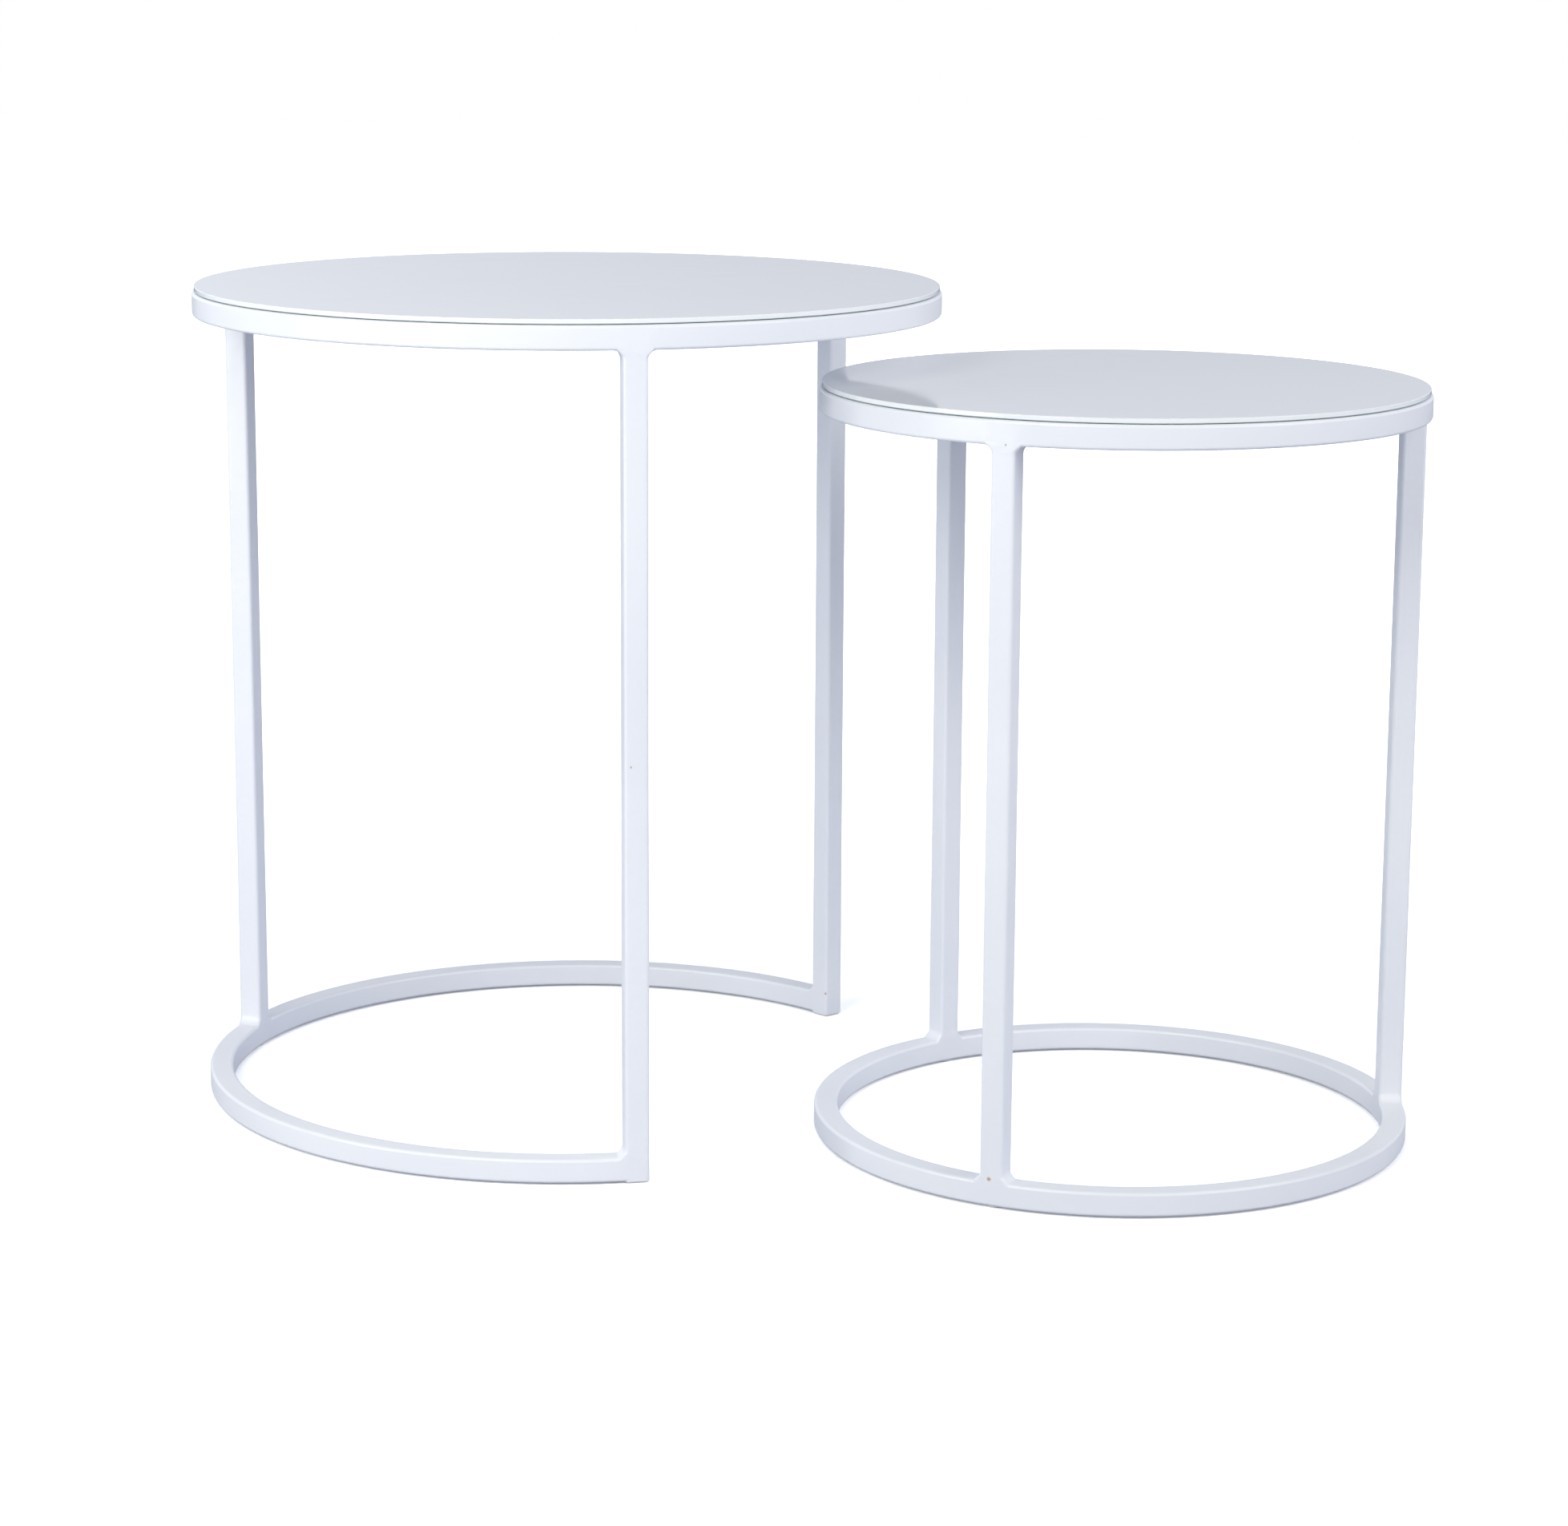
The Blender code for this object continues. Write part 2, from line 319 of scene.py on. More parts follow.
def make_tube(skin, table):
    skin.rotation_euler.z = table["turn"]
    skin.location = table["centre"]
    settle(skin)
    apply_modifier(
        skin, "depth", "SOLIDIFY", thickness=table["tube"], offset=-1, use_even_offset=True
    )
    apply_modifier(
        skin,
        "edges",
        "BEVEL",
        width=TUBE_EDGE,
        segments=EDGE_STEPS,
        limit_method="ANGLE",
        angle_limit=CORNER_ANGLE,
        use_clamp_overlap=False,
    )
    print(skin.name, "is now", len(skin.data.polygons), "faces of tube")


skins = {}
for table in (LARGE, SMALL):
    skin = drum_third(table)
    cut_windows(skin, table)
    close_drum(skin)
    if table is LARGE:
        open_mouth(skin, table)
    make_tube(skin, table)
    skins[table["name"]] = skin

# %% [markdown]
# ## Saw the frame into its pieces
#
# The frame is one body, but its hoop, legs and base are separate pieces of the real
# thing, and each answers for its own engineering nodes. The saw goes through plain
# tube a little way past each weld, where both sides of the cut have the same outline
# and the same shading, so no line shows. Each open end is then capped.

# %% The saw
def saw(piece, place, normal, reach):
    """Score the faces near a place, or all of them where reach is None."""
    open_piece(piece)
    if reach is None:
        choose_all()
    else:
        choose(piece, "FACE", reach)
    bpy.ops.mesh.bisect(plane_co=place, plane_no=normal)
    close_piece()


def part_off(piece, name, test):
    """The faces that pass the test become a piece of their own."""
    open_piece(piece)
    choose(piece, "FACE", test)
    bpy.ops.mesh.separate(type="SELECTED")
    close_piece()
    off = next(thing for thing in bpy.context.selected_objects if thing is not piece)
    off.name = name
    return off


def cap(piece):
    open_piece(piece)
    choose_all()
    bpy.ops.mesh.fill_holes(sides=0)
    choose_all()
    bpy.ops.mesh.normals_make_consistent(inside=False)
    close_piece()
    shade(piece)


def leg_place(table, number):
    azimuth = table["turn"] + number * LEG_STEP
    out = Vector((math.cos(azimuth), math.sin(azimuth), 0))
    side = Vector((-out.y, out.x, 0))
    return table["centre"] + out * (table["radius"] - table["tube"] / 2), side


def level(p):
    return Vector((p.x, p.y, 0))


# %% [markdown]
# ## The tall table's saw cuts
#
# The left leg stands on the arc, so it is cut just above its lower welds. The front
# and rear legs run to the floor beside the arc's ends, so there the saw goes through
# the arc, and their feet are cut off square, level with the underside of the base.


# %% Saws for the hoop and the legs
def saw_hoop(skin, table):
    """Cut the top hoop free and return it. The skin keeps the legs and the base."""
    cut = table["ring_low"] - WELD - SAW
    saw(skin, (0, 0, cut), (0, 0, 1), None)
    return part_off(skin, f"{table['name']}_hoop", lambda p: p.z > cut)


def near_leg(table, number):
    middle, _ = leg_place(table, number)
    return lambda p: (level(p) - middle).length < table["tube"]


def saw_standing_leg(skin, table, number, name):
    """Cut free a leg that stands on the base, just above its welds."""
    near = near_leg(table, number)
    cut = table["base_top"] + WELD + SAW
    saw(skin, (0, 0, cut), (0, 0, 1), lambda p: near(p) and p.z > table["base_top"] + WELD / 2)
    return part_off(skin, name, lambda p: near(p) and p.z > cut)


def saw_long_leg(skin, table, number, name, arc_side):
    """Cut free a leg that runs to the floor, with the weld that holds the arc's end."""
    middle, side = leg_place(table, number)
    reach = table["tube"] / 2 + WELD + SAW
    place = middle + side * arc_side * reach
    saw(skin, place, side, lambda p: (level(p) - middle).length < 2 * table["tube"])
    leg = part_off(
        skin,
        name,
        lambda p: (level(p) - middle).dot(side) * arc_side < reach
        and (level(p) - middle).length < 2 * table["tube"],
    )
    open_piece(leg)
    choose_all()
    bpy.ops.mesh.bisect(
        plane_co=(0, 0, table["floor"] + TOUCH),
        plane_no=(0, 0, 1),
        clear_inner=True,
        use_fill=True,
        threshold=TOUCH / 10,
    )
    close_piece()
    return leg


# %% Saw the tall table
frame_pieces = []


def add_frame_piece(piece, body, nodes):
    cap(piece)
    frame_pieces.append((piece, body, nodes))
    print(piece.name, len(piece.data.polygons), "faces, stands for", ", ".join(nodes))


def welds(leg, numbers):
    return [f"{leg}_weld_{number}" for number in numbers]


arc = skins["large"]
hoop = saw_hoop(arc, LARGE)
left_leg = saw_standing_leg(arc, LARGE, 0, "large_left_upright")
front_leg = saw_long_leg(arc, LARGE, 1, "large_front_upright", -1)
rear_leg = saw_long_leg(arc, LARGE, 2, "large_rear_upright", 1)
arc.name = "large_arc"
hoop_welds = welds("large_left_leg", (1, 2)) + welds("large_front_leg", (1, 2))
hoop_welds += welds("large_rear_leg", (1, 2))
add_frame_piece(hoop, "large_table", ["large_top_ring"] + hoop_welds)
add_frame_piece(left_leg, "large_table", ["large_left_leg"])
add_frame_piece(front_leg, "large_table", ["large_front_leg", "large_front_leg_weld_3"])
add_frame_piece(rear_leg, "large_table", ["large_rear_leg", "large_rear_leg_weld_3"])
add_frame_piece(arc, "large_table", ["large_base_arc"] + welds("large_left_leg", (3, 4)))

# %% [markdown]
# ## The low table's saw cuts
#
# All three legs of the low table stand on its closed base ring, so all of them are cut
# the same way.

# %% Saw the low table
base = skins["small"]
hoop = saw_hoop(base, SMALL)
places = ("right", "rear", "front")
small_legs = [
    saw_standing_leg(base, SMALL, number, f"small_{place}_upright")
    for number, place in enumerate(places)
]
base.name = "small_base"
hoop_welds = [weld for place in places for weld in welds(f"small_{place}_leg", (1, 2))]
base_welds = [weld for place in places for weld in welds(f"small_{place}_leg", (3, 4))]
add_frame_piece(hoop, "small_table", ["small_top_ring"] + hoop_welds)
for place, leg in zip(places, small_legs):
    add_frame_piece(leg, "small_table", [f"small_{place}_leg"])
add_frame_piece(base, "small_table", ["small_base_ring"] + base_welds)

# %% [markdown]
# ## The glass tops
#
# Each top is a disc of float glass three millimetres thick, with a coat of white on
# its underside. Its sharp rims are ground to a fine arris all round. The disc starts as
# a cylinder, its two rims are bevelled, and its top and underside are inset once, so
# that the arris shades on its own and the flat stays flat. An attribute on the mesh
# then says how deep in the glass each point lies, from 0 at the top to 1 at the painted
# underside. The material reads it to tint the edge.

# %% Model the tops
GLASS_FACETS = 256
ARRIS = 0.0005
ARRIS_STEPS = 3
RIM_LAND = 0.0030


def add_top(table):
    bpy.ops.object.select_all(action="DESELECT")
    thickness = table["glass_top"] - table["glass_low"]
    bpy.ops.mesh.primitive_cylinder_add(
        vertices=GLASS_FACETS,
        radius=table["glass_radius"],
        depth=thickness,
        location=table["centre"] + Vector((0, 0, table["glass_low"] + thickness / 2)),
    )
    top = bpy.context.object
    top.name = f"{table['name']}_top"
    settle(top)
    open_piece(top)
    middle = table["glass_low"] + thickness / 2
    choose(top, "EDGE", lambda p: abs(p.z - middle) > thickness / 3)
    bpy.ops.mesh.bevel(offset=ARRIS, segments=ARRIS_STEPS, affect="EDGES")
    choose(top, "FACE", lambda p: (level(p) - table["centre"]).length < table["glass_radius"] / 2)
    bpy.ops.mesh.inset(thickness=RIM_LAND, use_individual=True)
    close_piece()
    shade(top)
    depth = top.data.attributes.new("depth", "FLOAT", "POINT")
    for vert, value in zip(top.data.vertices, depth.data):
        value.value = (table["glass_top"] - vert.co.z) / thickness
    print(top.name, "is", round(2000 * table["glass_radius"], 1), "mm across")
    return top


tops = {table["name"]: add_top(table) for table in (LARGE, SMALL)}

# %% [markdown]
# ## Silicone dots
#
# Nothing clamps the glass. Six dots of clear silicone between it and the hoop hold it
# down and keep it off the steel, which leaves the thin dark line seen all round. A dot
# that is pressed flat bulges at its waist, so its rims are bevelled nearly to the
# middle. Each table's first dot is modelled and then copied to the other five places,
# each copy with its own mesh.

# %% Model a dot and copy it
DOT_FACETS = 40
DOT_BULGE = 0.0003
DOT_ROUNDING = 0.48
DOT_STEPS = 4


def add_dot(table, node):
    """A dot that fills the gap from the hoop to the glass, at its engineering node."""
    low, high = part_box(node)
    middle = (low + high) / 2
    gap = table["glass_low"] - table["ring_top"]
    middle.z = table["ring_top"] + gap / 2
    bpy.ops.object.select_all(action="DESELECT")
    bpy.ops.mesh.primitive_cylinder_add(
        vertices=DOT_FACETS, radius=(high.x - low.x) / 2 + DOT_BULGE, depth=gap, location=middle
    )
    dot = bpy.context.object
    dot.name = f"{table['name']}_dot"
    settle(dot)
    open_piece(dot)
    choose(dot, "EDGE", lambda p: abs(p.z - middle.z) > gap / 3)
    bpy.ops.mesh.bevel(offset=DOT_ROUNDING * gap, segments=DOT_STEPS, affect="EDGES")
    close_piece()
    shade(dot)
    return dot, middle


def copy_to(piece, name, offset):
    """A copy of a settled piece with its own mesh, moved by offset."""
    only(piece)
    bpy.ops.object.duplicate(linked=False)
    copy = bpy.context.object
    copy.name = name
    copy.location = offset
    settle(copy)
    return copy


def node_middle(node):
    low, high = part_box(node)
    return (low + high) / 2


# %% Set the dots in place
DOTS = 6
small_pieces = []
for table in (LARGE, SMALL):
    name = table["name"]
    first, start = add_dot(table, f"{name}_glass_bond_1")
    first.name = f"{name}_dot_1"
    small_pieces.append((first, f"{name}_table", f"{name}_glass_bond_1", "silicone"))
    for number in range(2, DOTS + 1):
        node = f"{name}_glass_bond_{number}"
        dot = copy_to(first, f"{name}_dot_{number}", node_middle(node) - start)
        small_pieces.append((dot, f"{name}_table", node, "silicone"))
print("silicone dots:", len(small_pieces))

# %% [markdown]
# ## What meets the floor
#
# Painted steel would mark a floor and would wear through. So the bases stand on small
# round glides of nylon, and the two long legs are closed by square plugs whose flanges
# keep the tube off the floor. A moulding has soft edges and a slight dish in the middle
# of its sole, where the mould was fed.

# %% Model a glide
GLIDE_FACETS = 40
MOULD_EDGE = 0.0004
MOULD_STEPS = 3
SOLE_LAND = 0.0006
DISH_EDGE = 0.0003
DISH = 0.0002


def add_glide(name, node, lift):
    """A round glide, made taller by lift so that it fills the gap up to the tube."""
    low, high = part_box(node)
    middle = (low + high) / 2
    bpy.ops.object.select_all(action="DESELECT")
    bpy.ops.mesh.primitive_cylinder_add(
        vertices=GLIDE_FACETS,
        radius=(high.x - low.x) / 2,
        depth=high.z - low.z + lift,
        location=middle + Vector((0, 0, lift / 2)),
    )
    glide = bpy.context.object
    glide.name = name
    settle(glide)
    finish_sole(glide, low.z)
    return glide


def finish_sole(piece, floor):
    """Soften the rim that meets the floor, and dish the middle of the sole."""
    open_piece(piece)
    choose(piece, "EDGE", lambda p: p.z - floor < TOUCH)
    bpy.ops.mesh.bevel(offset=MOULD_EDGE, segments=MOULD_STEPS, affect="EDGES")
    choose(piece, "FACE", lambda p: p.z - floor < TOUCH)
    bpy.ops.mesh.inset(thickness=SOLE_LAND)
    bpy.ops.mesh.inset(thickness=DISH_EDGE, depth=-DISH)
    close_piece()
    shade(piece)


# %% Model a plug
PLUG_MARGIN = 0.0010
PLUG_CORNER = 0.0014
PLUG_CORNER_STEPS = 4
NECK_INSET = 0.0008
NECK = 0.0040


def add_plug(name, node, number):
    """A square flange under a long leg, with a neck that goes up into the tube."""
    low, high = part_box(node)
    middle, _ = leg_place(LARGE, number)
    flange = LARGE["floor"] - low.z
    bpy.ops.object.select_all(action="DESELECT")
    bpy.ops.mesh.primitive_cube_add(
        size=1, location=middle + Vector((0, 0, low.z + flange / 2))
    )
    plug = bpy.context.object
    plug.name = name
    width = LARGE["tube"] - 2 * PLUG_MARGIN
    plug.scale = (width, width, flange)
    plug.rotation_euler.z = LARGE["turn"] + number * LEG_STEP
    settle(plug)
    open_piece(plug)
    choose(plug, "EDGE", lambda p: abs(p.z - low.z - flange / 2) < TOUCH)
    bpy.ops.mesh.bevel(offset=PLUG_CORNER, segments=PLUG_CORNER_STEPS, affect="EDGES")
    choose(plug, "FACE", lambda p: p.z > low.z + flange - TOUCH)
    bpy.ops.mesh.inset(thickness=NECK_INSET)
    bpy.ops.mesh.extrude_region_move(TRANSFORM_OT_translate={"value": (0, 0, NECK)})
    close_piece()
    finish_sole(plug, low.z)
    return plug


# %% Set the glides and plugs in place
standing = [("large_glide", "large_left_glide")]
standing += [(f"small_{place}_foot", f"small_{place}_glide") for place in places]
for name, node in standing:
    table = LARGE if name.startswith("large") else SMALL
    glide = add_glide(name, node, table["floor"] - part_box(node)[1].z)
    small_pieces.append((glide, f"{table['name']}_table", node, "nylon"))
for number, place in ((1, "front"), (2, "rear")):
    node = f"large_{place}_plug"
    plug = add_plug(f"large_{place}_foot", node, number)
    small_pieces.append((plug, "large_table", node, "nylon"))
print("glides and plugs:", len(small_pieces) - 2 * DOTS)

# %% [markdown]
# ## Node helpers and shared effects
#
# Every finish is a small tree of shader nodes. An effect that several finishes use is
# a node group, made once and given its own values in each material. A group hands on
# only masks, values and heights, while the shader itself stays in the material.

# %% Helpers for nodes
MIXED = 2  # the colour output of a Mix node, by its number


def put(tree, kind, **inputs):
    """Add a node. Each keyword sets the input socket of that name."""
    node = tree.nodes.new(kind)
    for name, value in inputs.items():
        node.inputs[name].default_value = value
    return node


def wire(tree, start, socket, end, target):
    tree.links.new(start.outputs[socket], end.inputs[target])


def maths(tree, operation, first, second=None):
    """A Math node. first and second are numbers or (node, socket) pairs."""
    node = tree.nodes.new("ShaderNodeMath")
    node.operation = operation
    for index, value in enumerate((first, second)):
        if isinstance(value, tuple):
            wire(tree, value[0], value[1], node, index)
        elif value is not None:
            node.inputs[index].default_value = value
    return node


def stretch(tree, source, socket, low, high, to_low=0.0, to_high=1.0):
    """Map a value smoothly from one range to another."""
    node = tree.nodes.new("ShaderNodeMapRange")
    node.interpolation_type = "SMOOTHSTEP"
    wire(tree, source, socket, node, "Value")
    node.inputs["From Min"].default_value = low
    node.inputs["From Max"].default_value = high
    node.inputs["To Min"].default_value = to_low
    node.inputs["To Max"].default_value = to_high
    return node


def blend_colours(tree, mask, socket, first, second):
    """Mix two colours by a mask. A colour is a triple or a (node, socket) pair."""
    node = tree.nodes.new("ShaderNodeMix")
    node.data_type = "RGBA"
    wire(tree, mask, socket, node, "Factor")
    for name, colour in (("A", first), ("B", second)):
        target = next(s for s in node.inputs if s.name == name and s.type == "RGBA")
        if isinstance(colour[0], bpy.types.Node):
            tree.links.new(colour[0].outputs[colour[1]], target)
        else:
            target.default_value = (*colour, 1)
    return node


def new_group(name, inputs, outputs):
    """A new node group with the inputs and float outputs named, and its two end nodes."""
    group = bpy.data.node_groups.new(name, "ShaderNodeTree")
    for socket, kind in inputs:
        group.interface.new_socket(name=socket, in_out="INPUT", socket_type=kind)
    for socket in outputs:
        group.interface.new_socket(name=socket, in_out="OUTPUT", socket_type="NodeSocketFloat")
    entry = group.nodes.new("NodeGroupInput")
    leave = group.nodes.new("NodeGroupOutput")
    return group, entry, leave


def use_group(tree, group, **values):
    node = tree.nodes.new("ShaderNodeGroup")
    node.node_tree = group
    for name, value in values.items():
        node.inputs[name].default_value = value
    return node


def new_material(name):
    material = bpy.data.materials.new(name)
    material.use_nodes = True
    return material, material.node_tree, material.node_tree.nodes["Principled BSDF"]


# %% [markdown]
# ## Cloud, grain and dust
#
# Cloud is slow variation that keeps a big plain surface from looking computer-made.
# Grain is fine relief, such as the orange peel of powder coat or the spark texture of a
# mould. Dust settles only where a surface faces up. All three read Object coordinates,
# so they stay put when a table moves.

# %% Shared groups
cloud, entry, leave = new_group("cloud", [("Size", "NodeSocketFloat")], ["Value"])
place = put(cloud, "ShaderNodeTexCoord")
scale = maths(cloud, "DIVIDE", 1.0, (entry, "Size"))
noise = put(cloud, "ShaderNodeTexNoise", Detail=2.0, Roughness=0.5)
wire(cloud, place, "Object", noise, "Vector")
wire(cloud, scale, 0, noise, "Scale")
spread = stretch(cloud, noise, "Fac", low=0.3, high=0.7)
wire(cloud, spread, 0, leave, "Value")

grain, entry, leave = new_group("grain", [("Size", "NodeSocketFloat")], ["Height"])
place = put(grain, "ShaderNodeTexCoord")
scale = maths(grain, "DIVIDE", 1.0, (entry, "Size"))
noise = put(grain, "ShaderNodeTexNoise", Detail=3.0, Roughness=0.45)
wire(grain, place, "Object", noise, "Vector")
wire(grain, scale, 0, noise, "Scale")
wire(grain, noise, "Fac", leave, "Height")

dust, entry, leave = new_group("dust", [("Amount", "NodeSocketFloat")], ["Mask"])
place = put(dust, "ShaderNodeTexCoord")
facing = put(dust, "ShaderNodeSeparateXYZ")
surface = put(dust, "ShaderNodeNewGeometry")
wire(dust, surface, "Normal", facing, 0)
upward = stretch(dust, facing, "Z", low=0.5, high=0.95)
patches = put(dust, "ShaderNodeTexNoise", Scale=22.0, Detail=4.0, Roughness=0.6)
wire(dust, place, "Object", patches, "Vector")
specks = put(dust, "ShaderNodeTexNoise", Scale=900.0, Detail=2.0)
wire(dust, place, "Object", specks, "Vector")
broad = stretch(dust, patches, "Fac", low=0.42, high=0.68)
fine = stretch(dust, specks, "Fac", low=0.5, high=0.75)
both = maths(dust, "MULTIPLY", (broad, 0), (fine, 0))
settled = maths(dust, "MULTIPLY", (both, 0), (upward, 0))
mask = maths(dust, "MULTIPLY", (settled, 0), (entry, "Amount"))
wire(dust, mask, 0, leave, "Mask")
print("shared groups:", [group.name for group in (cloud, grain, dust)])

# %% [markdown]
# ## White powder coat
#
# Powder coat is a plastic film baked on steel. It is a cool white with a satin gloss
# and a fine orange peel, a few millimetres from crest to crest. The film is thin on a
# rough weld, so the fillets are a little uneven under it. Here and there a pinhole let
# damp through and left a tiny amber spot. Each spot has a place of its own: a table, a
# leg's number, 1 for the leg's outer face or -1 for its inner one, how far the spot is
# to the side and above the floor, and its size.

# %% Mark the welds on the frame
WELD_REACH = 0.0095


def weld_corners(table):
    """Middle of each fillet, halfway through the tube's depth."""
    half = table["tube"] / 2
    corners = []
    for number in range(3):
        middle, side = leg_place(table, number)
        for way in (-1, 1):
            for height, rise in ((table["ring_low"], -1), (table["base_top"], 1)):
                corner = middle + side * way * (half + WELD / 3)
                corners.append(corner + Vector((0, 0, height + rise * WELD / 3)))
    return corners


def mark_welds(piece, table):
    """An attribute that is 1 on a weld and falls to 0 a little way along the tube."""
    corners = weld_corners(table)
    marks = piece.data.attributes.new("weld", "FLOAT", "POINT")
    marked = 0
    for vert, mark in zip(piece.data.vertices, marks.data):
        away = min(
            max((level(vert.co) - level(corner)).length - table["tube"] / 2, 0)
            + abs(vert.co.z - corner.z)
            for corner in corners
        )
        mark.value = max(0.0, 1.0 - away / WELD_REACH)
        marked += mark.value > 0
    return marked


for piece, body, _ in frame_pieces:
    table = LARGE if body == "large_table" else SMALL
    print(piece.name, "points on welds:", mark_welds(piece, table))

# %% Pinholes
RUST_SPOTS = [
    (SMALL, 2, 1, -0.0010, 0.0195, 0.0024),
    (SMALL, 2, 1, 0.0020, 0.4890, 0.0012),
    (LARGE, 1, 1, -0.0038, 0.2760, 0.0013),
    (LARGE, 2, -1, -0.0072, 0.0180, 0.0018),
]


def rust_place(table, number, outwards, sideways, height):
    """A point on the outer face of a leg, or on its inner face if outwards is -1."""
    middle, side = leg_place(table, number)
    out = level(middle - table["centre"]).normalized()
    place = middle + out * outwards * table["tube"] / 2 + side * sideways
    return Vector((place.x, place.y, height))


pinhole, entry, leave = new_group(
    "pinhole", [("Place", "NodeSocketVector"), ("Size", "NodeSocketFloat")], ["Mask"]
)
place = put(pinhole, "ShaderNodeTexCoord")
wobble = put(pinhole, "ShaderNodeTexNoise", Scale=1400.0, Detail=2.0)
wire(pinhole, place, "Object", wobble, "Vector")
gap = put(pinhole, "ShaderNodeVectorMath")
gap.operation = "DISTANCE"
wire(pinhole, place, "Object", gap, 0)
wire(pinhole, entry, "Place", gap, 1)
share = maths(pinhole, "DIVIDE", (gap, "Value"), (entry, "Size"))
ragged = maths(pinhole, "ADD", (share, 0), (wobble, "Fac"))
mask = stretch(pinhole, ragged, 0, low=1.25, high=0.75)
wire(pinhole, mask, 0, leave, "Mask")

print("amber spots:", len(RUST_SPOTS))

# %% Powder coat
PEEL_SHARE = 0.05
RIPPLE_SHARE = 0.6
PAINT = (0.850, 0.868, 0.905)
PAINT_COOL = (0.815, 0.840, 0.885)
RUST = (0.50, 0.36, 0.22)
DUST = (0.70, 0.69, 0.66)

powder_coat, tree, shader = new_material("powder_coat")
clouds = use_group(tree, cloud, Size=0.16)
film = blend_colours(tree, clouds, "Value", PAINT, PAINT_COOL)
settled = use_group(tree, dust, Amount=0.22)
dusty = blend_colours(tree, settled, "Mask", (film, MIXED), DUST)
colour = (dusty, MIXED)
for *spot, size in RUST_SPOTS:
    rust = use_group(tree, pinhole, Place=rust_place(*spot), Size=size)
    spotted = blend_colours(tree, rust, "Mask", colour, RUST)
    colour = (spotted, MIXED)
tree.links.new(colour[0].outputs[colour[1]], shader.inputs["Base Color"])
patches = use_group(tree, cloud, Size=0.035)
gloss = stretch(tree, patches, "Value", low=0.0, high=1.0, to_low=0.29, to_high=0.36)
wire(tree, gloss, 0, shader, "Roughness")
peel = use_group(tree, grain, Size=0.0045)
on_weld = put(tree, "ShaderNodeAttribute")
on_weld.attribute_name = "weld"
ripple = use_group(tree, grain, Size=0.0050)
ripple_here = maths(tree, "MULTIPLY", (ripple, "Height"), (on_weld, "Fac"))
peel_height = maths(tree, "MULTIPLY", (peel, "Height"), PEEL_SHARE)
ripple_height = maths(tree, "MULTIPLY", (ripple_here, 0), RIPPLE_SHARE)
relief = maths(tree, "ADD", (peel_height, 0), (ripple_height, 0))
bump = put(tree, "ShaderNodeBump", Strength=0.6, Distance=0.0016)
wire(tree, relief, 0, bump, "Height")
wire(tree, bump, "Normal", shader, "Normal")
shader.inputs["IOR"].default_value = 1.5
print("powder coat nodes:", len(tree.nodes))

# %% [markdown]
# ## White-backed glass
#
# The paint is on the underside, so the colour is seen through three millimetres of
# glass, which tints it a little. The face is almost a mirror at a low angle, with only
# faint smears where it was wiped. Along the edge the eye looks into the glass, and light
# gathers there. The upright faces are painted lighter for it, a painted highlight, and
# the lowest part, next to the paint, shows the green of the glass itself. The depth
# attribute places the green within the upright faces.

# %% White-backed glass
BACKED = (0.815, 0.835, 0.865)
UNEVEN = 0.985
# Painted highlight: the lighter colour painted on the upright edge faces, standing in for light
# gathered in the edge.
EDGE_PAINTED_HIGHLIGHT = (0.880, 0.910, 0.930)
EDGE_GREEN = (0.50, 0.64, 0.61)

white_glass, tree, shader = new_material("white_glass")
clouds = use_group(tree, cloud, Size=0.30)
tint = blend_colours(tree, clouds, "Value", BACKED, tuple(UNEVEN * part for part in BACKED))
surface = put(tree, "ShaderNodeNewGeometry")
facing = put(tree, "ShaderNodeSeparateXYZ")
wire(tree, surface, "Normal", facing, 0)
upright = maths(tree, "ABSOLUTE", (facing, "Z"))
on_edge = stretch(tree, upright, 0, low=0.92, high=0.60)
# Painted highlight: the upright faces take the lighter edge colour.
lit = blend_colours(tree, on_edge, 0, (tint, MIXED), EDGE_PAINTED_HIGHLIGHT)
depth = put(tree, "ShaderNodeAttribute")
depth.attribute_name = "depth"
deep = stretch(tree, depth, "Fac", low=0.78, high=0.90)
green_here = maths(tree, "MULTIPLY", (deep, 0), (on_edge, 0))
green = blend_colours(tree, green_here, 0, (lit, MIXED), EDGE_GREEN)
settled = use_group(tree, dust, Amount=0.10)
dusty = blend_colours(tree, settled, "Mask", (green, MIXED), DUST)
wire(tree, dusty, MIXED, shader, "Base Color")
smears = use_group(tree, cloud, Size=0.06)
gloss = stretch(tree, smears, "Value", low=0.0, high=1.0, to_low=0.030, to_high=0.065)
wire(tree, gloss, 0, shader, "Roughness")
waves = use_group(tree, cloud, Size=0.11)
bump = put(tree, "ShaderNodeBump", Strength=0.10, Distance=0.0003)
wire(tree, waves, "Value", bump, "Height")
wire(tree, bump, "Normal", shader, "Normal")
shader.inputs["IOR"].default_value = 1.52
print("glass nodes:", len(tree.nodes))

# %% [markdown]
# ## Silicone and nylon
#
# Silicone is clear but milky in a thin dot, and it cures with tiny bubbles and a soft
# skin. Nylon is a warm white with the even grain of its mould, greyed on the sole where
# it has slid over floors.

# %% Silicone and nylon
SILICONE = (0.74, 0.79, 0.79)
SILICONE_MILK = (0.82, 0.85, 0.85)
NYLON = (0.76, 0.755, 0.73)
NYLON_SCUFF = (0.50, 0.49, 0.47)

